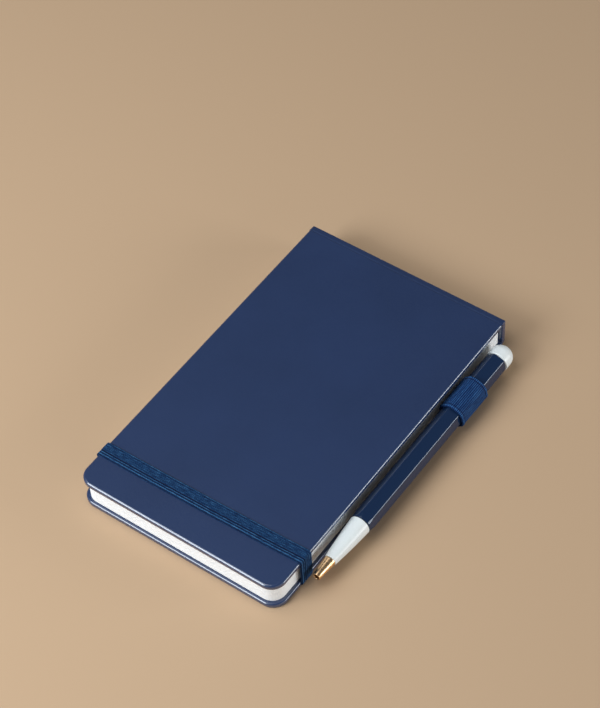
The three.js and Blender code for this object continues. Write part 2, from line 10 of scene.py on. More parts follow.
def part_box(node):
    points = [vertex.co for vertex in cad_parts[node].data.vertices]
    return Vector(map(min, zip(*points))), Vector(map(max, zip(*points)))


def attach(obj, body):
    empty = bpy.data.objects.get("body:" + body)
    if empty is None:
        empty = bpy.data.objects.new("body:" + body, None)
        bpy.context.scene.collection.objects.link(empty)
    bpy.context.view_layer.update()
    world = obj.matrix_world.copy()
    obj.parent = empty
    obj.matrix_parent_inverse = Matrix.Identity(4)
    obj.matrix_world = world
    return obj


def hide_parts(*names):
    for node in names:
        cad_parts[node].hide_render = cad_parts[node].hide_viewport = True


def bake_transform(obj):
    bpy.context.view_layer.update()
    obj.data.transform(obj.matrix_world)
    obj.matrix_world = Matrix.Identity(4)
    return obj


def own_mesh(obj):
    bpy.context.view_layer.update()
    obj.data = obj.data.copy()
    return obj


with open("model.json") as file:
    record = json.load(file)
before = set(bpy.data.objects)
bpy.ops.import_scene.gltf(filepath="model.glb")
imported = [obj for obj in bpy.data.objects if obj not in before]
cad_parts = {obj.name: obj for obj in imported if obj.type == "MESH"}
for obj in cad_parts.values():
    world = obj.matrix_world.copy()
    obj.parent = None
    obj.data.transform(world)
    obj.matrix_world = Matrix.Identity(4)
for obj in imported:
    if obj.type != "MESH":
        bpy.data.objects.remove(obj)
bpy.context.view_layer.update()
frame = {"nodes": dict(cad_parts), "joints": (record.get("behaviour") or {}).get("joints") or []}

MM = 0.001
WELD = 0.004  # points closer than this are one point
SHARP = math.radians(38)  # edges bent more than this are drawn sharp
SOFT_SHARP = math.radians(60)  # the same for pages, loop and spring
BAND_SHARP = math.radians(70)
TURNED_SHARP = math.radians(28)
random.seed(7)


def place(node):
    """Lowest and highest corner of a CAD node, in millimetres."""
    low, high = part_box(node)
    return low / MM, high / MM


def joint(name):
    return next(found for found in frame["joints"] if found["name"] == name)


# ---- Places from the frame ----
FRONT_LOW, FRONT_HIGH = place("front_cover_wrap")
BACK_HIGH = place("back_cover_wrap")[1]
BAND_LOW, BAND_HIGH = place("closure_band")
BAND_END_LOW, BAND_END_HIGH = place("band_end_right")
LOOP_LOW, LOOP_HIGH = place("pen_loop")
BARREL_LOW, BARREL_HIGH = place("pen_barrel")
KNOB_LOW, KNOB_HIGH = place("pen_knob")
CONE_HIGH = place("pen_cone")[1]
SPRING_LOW, SPRING_HIGH = place("refill_spring")
LEAF_LOW, LEAF_HIGH = place("flyleaf")
HALF_WIDTH = FRONT_HIGH.x
FREE_Y = FRONT_LOW.y
REAR_Y = BACK_HIGH.y
COVER_THICKNESS = FRONT_HIGH.z - FRONT_LOW.z
HINGE = Vector(joint("front_cover_hinge")["pos_m"]) / MM
PEN_X = (KNOB_LOW.x + KNOB_HIGH.x) / 2
PEN_Z = (KNOB_LOW.z + KNOB_HIGH.z) / 2
TIP_Y = place("pen_nozzle")[0].y

# ---- Driving dimensions of the fine shapes ----
COVER_CORNER = 6.0
PAGE_CORNER = 5.5
CORNER_STEPS = 10
OUTLINE_ROWS = 16
OUTLINE_COLUMNS = 25
ROW_GAP = 1  # even rows stay this far from the closely spaced ones

EDGE_TOP = 0.72  # how far the worn bevel of the front cover's upper edges reaches in
EDGE_INNER = 0.35  # the same for its lower edges
BACK_EDGE_TOP = 0.5
BACK_EDGE_LOW = 0.45
EDGE_MARGIN = 0.25  # a strip beside a bevel that keeps the flat side's shading even
# A covered board's edge, from its flat side to its upright side: each facet's slope in degrees, and its
# length as a share of the whole inset. It is flattest near 42 degrees, where hands and shelves rub it.
BOARD_EDGE = ((15, 0.18), (30, 0.15), (38, 0.24), (42, 0.3), (46, 0.24), (60, 0.15), (75, 0.18))

SWELL = 0.05  # height of the front board's slow swell
SWELL_ACROSS, SWELL_ALONG = 38, 46  # the swell's length along X and Y
SWELL_SLICE = 2.7  # which level of the noise gives the swell
COVERING = 0.3  # thickness of the covering paper where it folds
BOARD_ROOM = 0.03

CREASE_HALF = 0.55  # half the width of the soft crease beside the spine
CREASE_DEPTH = 0.09
CREASE_ROWS, CREASE_COLUMNS = 23, 31
CREASE_MARGIN = 2  # even columns stay this far from the bevelled ends
BEVEL_SHARE = 0.95  # how much of the covering the bevel may take at the crease
SWELL_AT_CREASE = 0.5

SPINE_THICKNESS = 2.3
SPINE_LIP = 1.2  # how far the spine's joint reaches in from the hinge line
LIP_FLOOR = 0.31  # height of the joint's underside, inside the back cover
BACK_END = 1.0  # how far the back cover ends short of the hinge line, under the spine's joint
ROUND_STEPS = 6

LEAVES_PER_SECTION = 14
LEAF_JITTER = 0.02  # how far single leaves stand out or back at the page block's edges
LEAF_GROOVE = 0.022
LEAF_FACE = (0.25, 0.8)  # where a leaf's upright face starts and ends, as shares of its pitch
FOLD_REACH = 3.0  # the stretch of a leaf beside the spine that bends as it turns
FOLD_LEAD = (6, 3)  # two rows ahead of that stretch
FOLD_END = 0.12
FOLD_ROWS = 26
SECTIONS = 6
POCKET_ROOM = 0.3  # room round the pocket in the last section
POCKET_LIFT = 0.05
POCKET_CUT = 1  # the hollow's cut starts this far below the gusset

BAND_THICKNESS = BAND_END_HIGH.x - BAND_END_LOW.x
BAND_WIDTH = 6.5
BAND_Y = (BAND_LOW.y + BAND_HIGH.y) / 2
BAND_BEND = 0.95  # radius of the band's middle round the covers' edges
BAND_CORD = 0.9  # pitch of the ribs across the band
BAND_RIB = 0.06
BAND_GROOVES = ((0.65, 0.034), (0.79, 0.02))  # place and half width, as shares of its width
BAND_GROOVE = 0.26  # depth of those two grooves
BAND_EDGE, BAND_EDGE_SHARE = 0.2, 0.025  # how far its edges round off, and over which share of its width
BAND_COLUMNS = 71
BAND_BOW = 0.35  # how far the band sags towards the free end in the middle of the front cover
BAND_TOP_Z = 7  # above this height the band belongs to its upper part
WANDER, WANDER_LENGTH = 0.06, 14  # the band's small waver: size, and length along the band
WANDER_SLICE = (0.3, 9.1)

BAND_ROOM = 0.3  # room beside the band in the slots of the back cover
SLOT_ROOM = 0.08
SLOT_INSET = 0.03  # keeps the slot's walls off the channel's
SLOT_FLOOR = 0.6  # height inside the channel where the slot's cut starts
CHANNEL_DEPTH = 0.8
CUT_BELOW, CUT_ABOVE = -1, 3  # heights that are safely below and above the back cover
CUT_PAST = 2
TAB_ROOM, TAB_DROP, TAB_PAST = 0.3, 0.05, 1  # the tab's recess: room round it, under it, past the cover


# ---- Meshes ----
class Surface:
    """Gathers patches of quads in millimetres, and makes one closed object of them."""

    def __init__(self):
        self.points = []
        self.faces = []
        self.flat = []

    def patch(self, rows, flat):
        """Adds a grid of points. flat holds each point's place on the flat paper or cloth."""
        first = len(self.points)
        width = len(rows[0])
        for row, flat_row in zip(rows, flat):
            self.points.extend(row)
            self.flat.extend(flat_row)
        for i in range(len(rows) - 1):
            for j in range(width - 1):
                a = first + i * width + j
                self.faces.append((a, a + 1, a + width + 1, a + width))

    def cap(self, ring):
        """Closes an end with one face. The ring's last point repeats its first."""
        first = len(self.points)
        count = len(ring) - 1
        self.points.extend(ring[:count])
        self.flat.extend([(0, 0)] * count)
        self.faces.append(tuple(range(first, first + count)))

    def build(self, name, material, sharp=SHARP):
        mesh = bpy.data.meshes.new(name)
        mesh.from_pydata([Vector(point) * MM for point in self.points], [], self.faces)
        layer = mesh.uv_layers.new(name="Flat")
        for loop in mesh.loops:
            u, v = self.flat[loop.vertex_index]
            layer.data[loop.index].uv = (u * MM, v * MM)
        shaped = bmesh.new()
        shaped.from_mesh(mesh)
        bmesh.ops.remove_doubles(shaped, verts=shaped.verts, dist=WELD * MM)
        bmesh.ops.dissolve_degenerate(shaped, edges=shaped.edges, dist=WELD * MM / 4)
        bmesh.ops.recalc_face_normals(shaped, faces=shaped.faces)
        shaped.to_mesh(mesh)
        shaped.free()
        piece = bpy.data.objects.new(name, mesh)
        bpy.context.scene.collection.objects.link(piece)
        if material:
            mesh.materials.append(material)
        smooth(mesh, sharp)
        return piece


def smooth(mesh, sharp=SHARP):
    mesh.shade_smooth()
    mesh.set_sharp_from_angle(angle=sharp)


def combine(piece, tool, operation, sharp=SHARP):
    """Joins a tool's solid to a piece, or cuts it away, and removes the tool."""
    modifier = piece.modifiers.new(operation, "BOOLEAN")
    modifier.object = tool
    modifier.operation = operation
    modifier.solver = "EXACT"
    graph = bpy.context.evaluated_depsgraph_get()
    made = bpy.data.meshes.new_from_object(piece.evaluated_get(graph))
    piece.modifiers.clear()
    piece.data = made
    bpy.data.objects.remove(tool)
    close_slivers(made)
    smooth(made, sharp)


def close_slivers(mesh):
    """Fills the odd triangle that a cut leaves open."""
    shaped = bmesh.new()
    shaped.from_mesh(mesh)
    bmesh.ops.holes_fill(shaped, edges=[edge for edge in shaped.edges if edge.is_boundary], sides=4)
    shaped.to_mesh(mesh)
    shaped.free()


def block(low, high):
    """A plain block between two corners, to cut with or to join on."""
    surface = Surface()
    corners = [(low[0], low[1]), (high[0], low[1]), (high[0], high[1]), (low[0], high[1]), (low[0], low[1])]
    rows = [[(x, y, z) for x, y in corners] for z in (low[2], high[2])]
    surface.patch(rows, [[(0, 0)] * len(corners)] * 2)
    for z in (low[2], high[2]):
        surface.patch(
            [[(low[0], low[1], z), (high[0], low[1], z)], [(low[0], high[1], z), (high[0], high[1], z)]],
            [[(0, 0)] * 2] * 2,
        )
    return surface.build("cutter", None)


def spread(start, end, count):
    """Evenly spaced numbers from start to end, both included."""
    return [start + (end - start) * i / (count - 1) for i in range(count)]


def bell(value, middle, half):
    """1 where value is at the middle, falling softly to 0 on both sides."""
    return math.exp(-(((value - middle) / half) ** 2))


def wrapped_edge(inset):
    """(inset, drop) pairs of a covered board's edge, from its flat side to its upright side."""
    pairs = [(inset, 0.0)]
    for slope, length in BOARD_EDGE:
        angle = math.radians(slope)
        x, drop = pairs[-1]
        pairs.append((x - inset * length * math.cos(angle), drop + inset * length * math.sin(angle)))
    left_over = pairs[-1][0]
    return [(x - left_over * (inset - x) / (inset - left_over), drop) for x, drop in pairs]


# ---- Sheets and boards with the pad's outline ----
class Outline:
    """The pad's outline from above: round at the two free corners, square at the spine."""

    def __init__(self, half_width, free_y, end_y, corner, fine_rows=()):
        self.half_width = half_width
        self.free_y = free_y
        self.end_y = end_y
        self.corner = corner
        straight = spread(free_y + corner, end_y, OUTLINE_ROWS)[1:-1]
        fine = sorted(fine_rows)
        self.rows = [y for y in straight if not fine or y < fine[0] - ROW_GAP] + fine
        self.across = spread(-1, 1, OUTLINE_COLUMNS)

    def grid(self, inset, z, end_inset=0.0, warp=None):
        """Rows of points over the outline, drawn in by an inset, at one height."""
        radius = self.corner - inset
        free = self.free_y + inset
        side = self.half_width - inset
        edges = []
        for angle in spread(0, math.pi / 2, CORNER_STEPS + 1):
            edges.append((free + radius * (1 - math.cos(angle)), side - radius * (1 - math.sin(angle))))
        edges += [(y, side) for y in self.rows]
        edges.append((self.end_y - end_inset, side))
        lift = warp or (lambda x, y: 0)
        return [[(t * x, y, z + lift(t * x, y)) for t in self.across] for y, x in edges]


def rim(grid):
    """The points round a grid's edge, in order, ending where they start."""
    right = [row[-1] for row in grid[1:-1]]
    left = [row[0] for row in grid[-2:0:-1]]
    return grid[0] + right + grid[-1][::-1] + left + grid[0][:1]


def seen_from_above(grid):
    return [[(x, y) for x, y, z in row] for row in grid]


def slab(name, material, outline, profile, sharp=SHARP, round_end=False, warp=None):
    """A closed sheet or board. profile holds (inset, z) from the lower face's edge to the upper face's."""
    surface = Surface()
    grids = [outline.grid(inset, z, inset if round_end else 0, warp) for inset, z in profile]
    surface.patch(grids[0], seen_from_above(grids[0]))
    surface.patch(grids[-1], seen_from_above(grids[-1]))
    rims = [rim(grid) for grid in grids]
    along = [0.0]
    for a, b in zip(rims[0], rims[0][1:]):
        along.append(along[-1] + (Vector(b) - Vector(a)).length)
    surface.patch(rims, [[(s, point[2]) for s, point in zip(along, ring)] for ring in rims])
    return surface.build(name, material, sharp)


def board_profile(z0, z1, lower, upper):
    """The rounded edge of a board in its covering."""
    under = [(inset, z0 + drop) for inset, drop in wrapped_edge(lower)]
    over = [(inset, z1 - drop) for inset, drop in reversed(wrapped_edge(upper))]
    return [(lower + EDGE_MARGIN, z0)] + under + over + [(upper + EDGE_MARGIN, z1)]


def leaf_profile(z0, z1, leaves):
    """The edge of a stack of leaves: each stands out or back a little, with a groove to the next."""
    pitch = (z1 - z0) / leaves
    profile = []
    for i in range(leaves):
        inset = LEAF_JITTER * random.random()
        low = z0 + i * pitch
        profile.append((inset + LEAF_GROOVE, low))
        for share in LEAF_FACE:
            profile.append((inset, low + pitch * share))
    profile.append((profile[-1][0] + LEAF_GROOVE, z1))
    return profile


# ---- Materials ----
def paint(red, green, blue):
    """A colour as the eye sees it, 0 to 255, as the renderer's linear colour."""
    def linear(value):
        value /= 255
        return value / 12.92 if value <= 0.04045 else ((value + 0.055) / 1.055) ** 2.4
    return (linear(red), linear(green), linear(blue), 1)


WAVE_LENGTH = 2 * math.pi / 20  # what the wave texture repeats after at scale 1


class Finish:
    """A material's node tree, written step by step."""

    def __init__(self, name, colour, roughness, metallic=0.0):
        self.material = bpy.data.materials.new(name)
        self.material.use_nodes = True
        self.tree = self.material.node_tree
        self.shader = self.tree.nodes["Principled BSDF"]
        self.place = self.tree.nodes.new("ShaderNodeTexCoord")
        self.height = None
        self.set("Base Color", colour)
        self.set("Roughness", roughness)
        self.set("Metallic", metallic)

    def set(self, socket, value):
        self.shader.inputs[socket].default_value = value

    def link(self, out, into):
        self.tree.links.new(out, into)

    def scaled(self, coordinates, scale):
        node = self.tree.nodes.new("ShaderNodeMapping")
        node.inputs["Scale"].default_value = scale
        self.link(self.place.outputs[coordinates], node.inputs["Vector"])
        return node.outputs["Vector"]

    def noise(self, size, coordinates="Object", detail=2.0, stretch=(1, 1, 1), roughness=0.5):
        """Cloudy noise whose features are about size millimetres across."""
        node = self.tree.nodes.new("ShaderNodeTexNoise")
        node.inputs["Scale"].default_value = 1
        node.inputs["Detail"].default_value = detail
        node.inputs["Roughness"].default_value = roughness
        per_metre = 1 / (size * MM)
        self.link(self.scaled(coordinates, [per_metre * s for s in stretch]), node.inputs["Vector"])
        return node.outputs["Fac"]

    def stripes(self, pitch, axis, coordinates="UV", distortion=0.0):
        """A smooth wave that repeats every pitch millimetres along one axis."""
        node = self.tree.nodes.new("ShaderNodeTexWave")
        node.wave_type = "BANDS"
        node.bands_direction = axis
        node.wave_profile = "SIN"
        node.inputs["Scale"].default_value = WAVE_LENGTH
        node.inputs["Distortion"].default_value = distortion
        per_metre = 1 / (pitch * MM)
        self.link(self.scaled(coordinates, [per_metre] * 3), node.inputs["Vector"])
        return node.outputs["Fac"]

    def line(self, v, half_width, lift):
        """A soft line along U, v millimetres across the flat coordinates: lift in its middle, 0 beside it."""
        node = self.tree.nodes.new("ShaderNodeSeparateXYZ")
        self.link(self.place.outputs["UV"], node.inputs[0])
        away = self.math("ABSOLUTE", self.math("SUBTRACT", node.outputs["Y"], v * MM), 0)
        return self.spread(away, lift, 0, 0, half_width * MM)

    def math(self, operation, a, b):
        node = self.tree.nodes.new("ShaderNodeMath")
        node.operation = operation
        for socket, value in zip(node.inputs, (a, b)):
            if isinstance(value, (int, float)):
                socket.default_value = value
            else:
                self.link(value, socket)
        return node.outputs[0]

    def spread(self, value, low, high, start=0.0, end=1.0):
        """Maps a value from start..end to low..high."""
        node = self.tree.nodes.new("ShaderNodeMapRange")
        for name, number in (("From Min", start), ("From Max", end), ("To Min", low), ("To Max", high)):
            node.inputs[name].default_value = number
        self.link(value, node.inputs["Value"])
        return node.outputs["Result"]

    def mix(self, factor, a, b):
        """Colour a where factor is 0, colour b where it is 1. Either may be another node's output."""
        node = self.tree.nodes.new("ShaderNodeMix")
        node.data_type = "RGBA"
        self.link(factor, node.inputs["Factor"])
        for name, colour in (("A", a), ("B", b)):
            socket = next(s for s in node.inputs if s.name == name and s.type == "RGBA")
            if isinstance(colour, tuple):
                socket.default_value = colour
            else:
                self.link(colour, socket)
        return next(s for s in node.outputs if s.type == "RGBA")

    def colour(self, out):
        self.link(out, self.shader.inputs["Base Color"])

    def mottle(self, value, amount, start, end, a, b):
        """Colours the surface a, going over to b by up to amount where value rises from start to end."""
        self.colour(self.mix(self.spread(value, 0, amount, start, end), a, b))

    def rough(self, out):
        self.link(out, self.shader.inputs["Roughness"])

    def bump(self, value, height):
        """Raises the surface by up to height millimetres where value is 1, on top of earlier bumps."""
        node = self.tree.nodes.new("ShaderNodeBump")
        node.inputs["Strength"].default_value = 1
        node.inputs["Distance"].default_value = height * MM
        self.link(value, node.inputs["Height"])
        if self.height:
            self.link(self.height, node.inputs["Normal"])
        self.height = node.outputs["Normal"]
        self.link(self.height, self.shader.inputs["Normal"])


def make_covering():
    """Navy coated covering paper: satin, almost smooth, with a very fine mottled grain."""
    finish = Finish("navy_covering", paint(26, 47, 86), 0.4)
    cloud = finish.noise(28, detail=3)
    grain = finish.noise(0.55, detail=4, roughness=0.6)
    fine = finish.noise(0.16, detail=2)
    base = finish.mix(finish.spread(cloud, 0, 1, 0.3, 0.7), paint(24, 46, 88), paint(29, 51, 95))
    finish.mottle(grain, 0.35, 0.35, 0.7, base, paint(38, 60, 101))
    finish.rough(finish.spread(grain, 0.34, 0.46, 0.3, 0.7))
    finish.bump(grain, 0.006)
    finish.bump(fine, 0.004)
    finish.set("Specular IOR Level", 0.7)
    finish.set("Specular Tint", (0.72, 0.86, 1, 1))
    finish.set("Coat Weight", 1)
    finish.set("Coat IOR", 1.65)
    finish.set("Coat Roughness", 0.08)
    return finish.material


def make_paper(name, light, shade):
    """Writing paper: cool white, with faint fibres and cloudy formation."""
    finish = Finish(name, light, 0.88)
    cloud = finish.noise(6, detail=3)
    fibres = finish.noise(0.5, detail=5, roughness=0.7)
    finish.mottle(cloud, 0.6, 0.3, 0.7, light, shade)
    finish.bump(fibres, 0.003)
    finish.set("Specular IOR Level", 0.3)
    finish.set("Sheen Weight", 0.05)
    return finish.material


def make_elastic(name, cord, weft, weights, streak, tones, lines):
    """Woven elastic in its flat coordinates: cords along U, one each cord mm, and weft threads across them.

    weights are the strengths of the over and under pattern, the cord lines and the weft lines. streak
    stretches the irregular streaks. tones are the dark, middle and light colours. lines holds (v, half
    width, lift) of painted shade in the grooves (lift below 0) and of painted highlights on the ribs.
    """
    finish = Finish(name, tones[1], 0.75)
    every_other = finish.stripes(2 * cord, "Y")
    wefts = finish.stripes(weft, "X", distortion=0.2)
    cords = finish.stripes(cord, "Y")
    over = finish.math("MULTIPLY", finish.spread(every_other, -1, 1), finish.spread(wefts, -1, 1))
    streaks = finish.noise(cord * 0.8, "UV", detail=3, stretch=streak, roughness=0.65)
    fuzz = finish.noise(0.2, "UV", detail=4, roughness=0.7)
    tone_with_painted_light = finish.spread(streaks, 0.05, 0.72, 0.3, 0.7)
    for pattern, low, weight in ((over, -1, weights[0]), (cords, 0, weights[1]), (wefts, 0, weights[2])):
        tone_with_painted_light = finish.math("ADD", tone_with_painted_light, finish.spread(pattern, -weight, weight, low, 1))
    # each line adds painted shade (lift below 0) or a painted highlight
    for v, half_width, lift in lines:
        tone_with_painted_light = finish.math("ADD", tone_with_painted_light, finish.line(v, half_width, lift))
    dark_half = finish.mix(finish.spread(tone_with_painted_light, 0, 1, 0, 0.5), tones[0], tones[1])
    finish.colour(finish.mix(finish.spread(tone_with_painted_light, 0, 1, 0.5, 1.1), dark_half, tones[2]))
    finish.bump(over, 0.04)
    finish.bump(cords, 0.05)
    finish.bump(wefts, 0.03)
    finish.bump(fuzz, 0.02)
    finish.set("Sheen Weight", 0.06)
    finish.set("Sheen Roughness", 0.4)
    finish.set("Sheen Tint", (0.25, 0.55, 1, 1))
    finish.set("Specular IOR Level", 0.15)
    return finish.material


def make_lacquer():
    """Glossy dark navy lacquer with a faint orange peel."""
    finish = Finish("navy_lacquer", paint(26, 46, 78), 0.2)
    peel = finish.noise(1.8, detail=1)
    dust = finish.noise(0.4, detail=5, roughness=0.75)
    finish.mottle(dust, 0.5, 0.55, 0.8, paint(24, 44, 76), paint(33, 53, 87))
    finish.rough(finish.spread(dust, 0.1, 0.2, 0.4, 0.75))
    finish.bump(peel, 0.003)
    finish.set("Specular IOR Level", 0.4)
    finish.set("Specular Tint", (0.8, 0.9, 1, 1))
    finish.set("Coat Weight", 0.2)
    finish.set("Coat Roughness", 0.05)
    return finish.material


def make_white_plastic():
    """Cool off-white moulded plastic with a satin gloss."""
    finish = Finish("white_plastic", paint(239, 247, 248), 0.3)
    cloud = finish.noise(5, detail=2)
    grain = finish.noise(0.3, detail=3)
    finish.mottle(cloud, 1, 0.3, 0.7, paint(237, 246, 248), paint(242, 249, 250))
    finish.rough(finish.spread(grain, 0.26, 0.38, 0.35, 0.7))
    finish.bump(grain, 0.003)
    finish.set("Subsurface Weight", 0.08)
    finish.set("Subsurface Radius", (0.8 * MM, 0.8 * MM, 0.8 * MM))
    return finish.material


def make_metal(name, light, dark, roughness, turning):
    """Turned metal: fine rings round the axis and slight tarnish."""
    finish = Finish(name, light, roughness, 1.0)
    rings = finish.noise(turning, detail=1, stretch=(0.05, 1, 0.05))
    tarnish = finish.noise(3, detail=2)
    finish.mottle(tarnish, 0.5, 0.4, 0.75, light, dark)
    finish.rough(finish.spread(rings, roughness * 0.85, roughness * 1.2, 0.3, 0.7))
    finish.bump(rings, 0.0004)
    return finish.material


def make_board():
    """Grey board: pressed pulp with darker flecks."""
    finish = Finish("grey_board", paint(143, 138, 128), 0.95)
    flecks = finish.noise(0.5, detail=6, roughness=0.8)
    finish.mottle(flecks, 1, 0.4, 0.7, paint(150, 145, 134), paint(110, 104, 95))
    finish.bump(flecks, 0.03)
    return finish.material


def make_thread():
    """Undyed cotton: short twisted strands."""
    finish = Finish("cotton_thread", paint(226, 221, 206), 0.85)
    twist = finish.stripes(0.35, "DIAGONAL", "Object")
    finish.colour(finish.mix(twist, paint(205, 199, 182), paint(234, 230, 217)))
    finish.bump(twist, 0.04)
    return finish.material


COVERING_FINISH = make_covering()
PAGE_FINISH = make_paper("page_paper", paint(250, 253, 255), paint(247, 250, 252))
ENDPAPER_FINISH = make_paper("endpaper", paint(249, 247, 240), paint(243, 240, 230))
# The band's lines are painted light and shade: painted highlights on its ribs at 0.3, 4.65 and 5.75 mm,
# painted shade beside the rear rib at 0.75 mm and in its grooves at 4.2 and 5.12 mm, and a painted shadow
# along its front edge at 6.4 mm.
BAND_FINISH = make_elastic(
    "band_elastic", cord=0.5, weft=1.1, weights=(0.1, 0.2, 0.02), streak=(0.16, 1, 1),
    tones=(paint(6, 24, 58), paint(19, 58, 100), paint(72, 124, 170)),
    lines=[(0.3, 0.3, 0.2), (0.75, 0.2, -0.3), (4.2, 0.36, -0.75), (4.65, 0.25, 0.2), (5.12, 0.22, -0.5),
           (5.75, 0.4, 0.34), (6.4, 0.3, -0.7)],
)
LOOP_RIM = 1.1  # width of the bound rim at both ends of the loop
LOOP_LENGTH = LOOP_HIGH.y - LOOP_LOW.y
RIM_HIGHLIGHT = 0.5  # the middle of the painted highlight on the raised rim, from the loop's end
RIM_SHADE = 0.15  # the middle of the painted shade in the groove beside the rim, from the rim
# The loop's lines are painted light and shade: a painted highlight on each raised rim and painted shade in
# the groove beside it.
LOOP_FINISH = make_elastic(
    "loop_elastic", cord=0.46, weft=0.74, weights=(0.08, 0.2, 0.34), streak=(1, 0.05, 1),
    tones=(paint(6, 22, 62), paint(19, 56, 108), paint(66, 122, 182)),
    lines=[(RIM_HIGHLIGHT, 0.6, 0.2), (LOOP_RIM + RIM_SHADE, 0.28, -0.6), (LOOP_LENGTH - RIM_HIGHLIGHT, 0.6, 0.2),
           (LOOP_LENGTH - LOOP_RIM - RIM_SHADE, 0.28, -0.6)],
)
LACQUER_FINISH = make_lacquer()
PLASTIC_FINISH = make_white_plastic()
BRASS_FINISH = make_metal("turned_brass", paint(242, 204, 158), paint(232, 190, 142), 0.28, 0.7)
STEEL_FINISH = make_metal("bright_steel", paint(190, 192, 194), paint(150, 152, 155), 0.28, 0.5)
BOARD_FINISH = make_board()
THREAD_FINISH = make_thread()


# ---- Covers ----
def cover_wave(x, y):
    """The front board is not quite flat: a slow swell of a few hundredths of a millimetre."""
    return SWELL * noise.noise(Vector((x / SWELL_ACROSS, y / SWELL_ALONG, SWELL_SLICE)))


def line_board_hollow(piece, node):
    """Gives a covering the hollow that its board lies in, a hair larger than the board."""
    inner = bmesh.new()
    inner.from_mesh(frame["nodes"][node].data)
    bmesh.ops.remove_doubles(inner, verts=inner.verts, dist=WELD * MM / 4)
    inner.normal_update()
    for v in inner.verts:
        v.co += v.normal * (BOARD_ROOM * MM)
    bmesh.ops.reverse_faces(inner, faces=inner.faces)
    lining = bpy.data.meshes.new("lining")
    inner.to_mesh(lining)
    whole = bmesh.new()
    whole.from_mesh(piece.data)
    whole.from_mesh(lining)
    whole.to_mesh(piece.data)
    for mesh in (inner, whole):
        mesh.free()
    bpy.data.meshes.remove(lining)


def make_front_cover():
    outline = Outline(HALF_WIDTH, FREE_Y, HINGE.y - CREASE_HALF, COVER_CORNER)
    profile = board_profile(FRONT_LOW.z, FRONT_HIGH.z, EDGE_INNER, EDGE_TOP)
    piece = slab("cover_front", COVERING_FINISH, outline, profile, warp=cover_wave)
    line_board_hollow(piece, "front_board")
    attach(piece, "front_cover")
    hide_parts("front_cover_wrap")


def make_crease():
    """The covering between the front cover and the spine, which folds as the cover opens."""
    surface = Surface()
    half = CREASE_HALF
    spine_top = BACK_HIGH.z
    front_top = FRONT_HIGH.z
    stations = []
    for t in spread(0, 1, CREASE_ROWS):
        y = HINGE.y - half + 2 * half * t
        dip = CREASE_DEPTH * math.sin(math.pi * t) ** 2
        stations.append((y, front_top + (spine_top - front_top) * t - dip))
    ends = wrapped_edge(EDGE_TOP)
    across = [(-HALF_WIDTH + inset, drop) for inset, drop in reversed(ends)]
    clear = HALF_WIDTH - CREASE_MARGIN
    across += [(x, 0) for x in spread(-clear, clear, CREASE_COLUMNS)]
    across += [(HALF_WIDTH - inset, drop) for inset, drop in ends]
    deepest = COVERING * BEVEL_SHARE
    top = [[(x, y, z - min(drop, deepest) + cover_wave(x, y) * SWELL_AT_CREASE) for x, drop in across]
           for y, z in stations]
    low = [[(x, y, z - COVERING) for x, drop in across] for y, z in stations]
    surface.patch(top, seen_from_above(top))
    surface.patch(low, seen_from_above(low))
    edges = [rim(top), rim(low)]
    surface.patch(edges, [[(x + y, z) for x, y, z in ring] for ring in edges])
    piece = surface.build("cover_crease", COVERING_FINISH)
    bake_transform(piece)


def rounded_path(points, radii):
    """A closed outline with its corners rounded, each by its own radius."""
    count = len(points)
    path = []
    for i, (point, radius) in enumerate(zip(points, radii)):
        here = Vector(point)
        if not radius:
            path.append(tuple(here))
            continue
        before = (Vector(points[i - 1]) - here).normalized()
        after = (Vector(points[(i + 1) % count]) - here).normalized()
        half = before.angle(after) / 2
        centre = here + (before + after).normalized() * (radius / math.sin(half))
        start = here + before * (radius / math.tan(half)) - centre
        end = here + after * (radius / math.tan(half)) - centre
        first = math.atan2(start.y, start.x)
        turn = (math.atan2(end.y, end.x) - first + math.pi) % (2 * math.pi) - math.pi
        for angle in spread(first, first + turn, ROUND_STEPS):
            path.append((centre.x + radius * math.cos(angle), centre.y + radius * math.sin(angle)))
    return path


def make_spine_solid():
    """The spine board in its covering, with the joint that reaches into the back cover."""
    top = BACK_HIGH.z
    inner = REAR_Y - SPINE_THICKNESS
    crease = HINGE.y + CREASE_HALF
    lip = HINGE.y - SPINE_LIP
    joint_top = COVER_THICKNESS - 0.05
    # each corner's (y, z) and radius: under the joint and spine, up the back, over the top, down the inside
    corners = [
        ((lip, LIP_FLOOR), 0), ((HINGE.y - 0.4, LIP_FLOOR), 0.5), ((HINGE.y + 0.35, 0.95), 0.3),
        ((REAR_Y - 0.1, 0.85), 1.5), ((REAR_Y, top - 0.25), 0.4),
        ((crease, top), 0), ((crease, top - COVERING), 0), ((inner, top - 2 * COVERING), 0.15),
        ((inner, joint_top), 0.2), ((lip, joint_top), 0),
    ]
    outline = rounded_path([point for point, radius in corners], [radius for point, radius in corners])
    outline.append(outline[0])
    rounding = [(0.02, 0.3), (0.12, 0.1), (0.4, 0)]  # distance from the end, how far the outline is drawn in
    clear = HALF_WIDTH - 3
    columns = [(-HALF_WIDTH + inset, draw) for inset, draw in rounding]
    columns += [(x, 0) for x in spread(-clear, clear, 21)]
    columns += [(HALF_WIDTH - inset, draw) for inset, draw in reversed(rounding)]
    point_pitch = 0.8  # about how far the outline's points lie apart on the flat covering
    surface = Surface()
    rows = [[drawn(outline, i, draw, x) for i in range(len(outline))] for x, draw in columns]
    surface.patch(rows, [[(x, i * point_pitch) for i in range(len(outline))] for x, draw in columns])
    surface.cap(rows[0])
    surface.cap(rows[-1])
    return surface.build("spine", COVERING_FINISH)


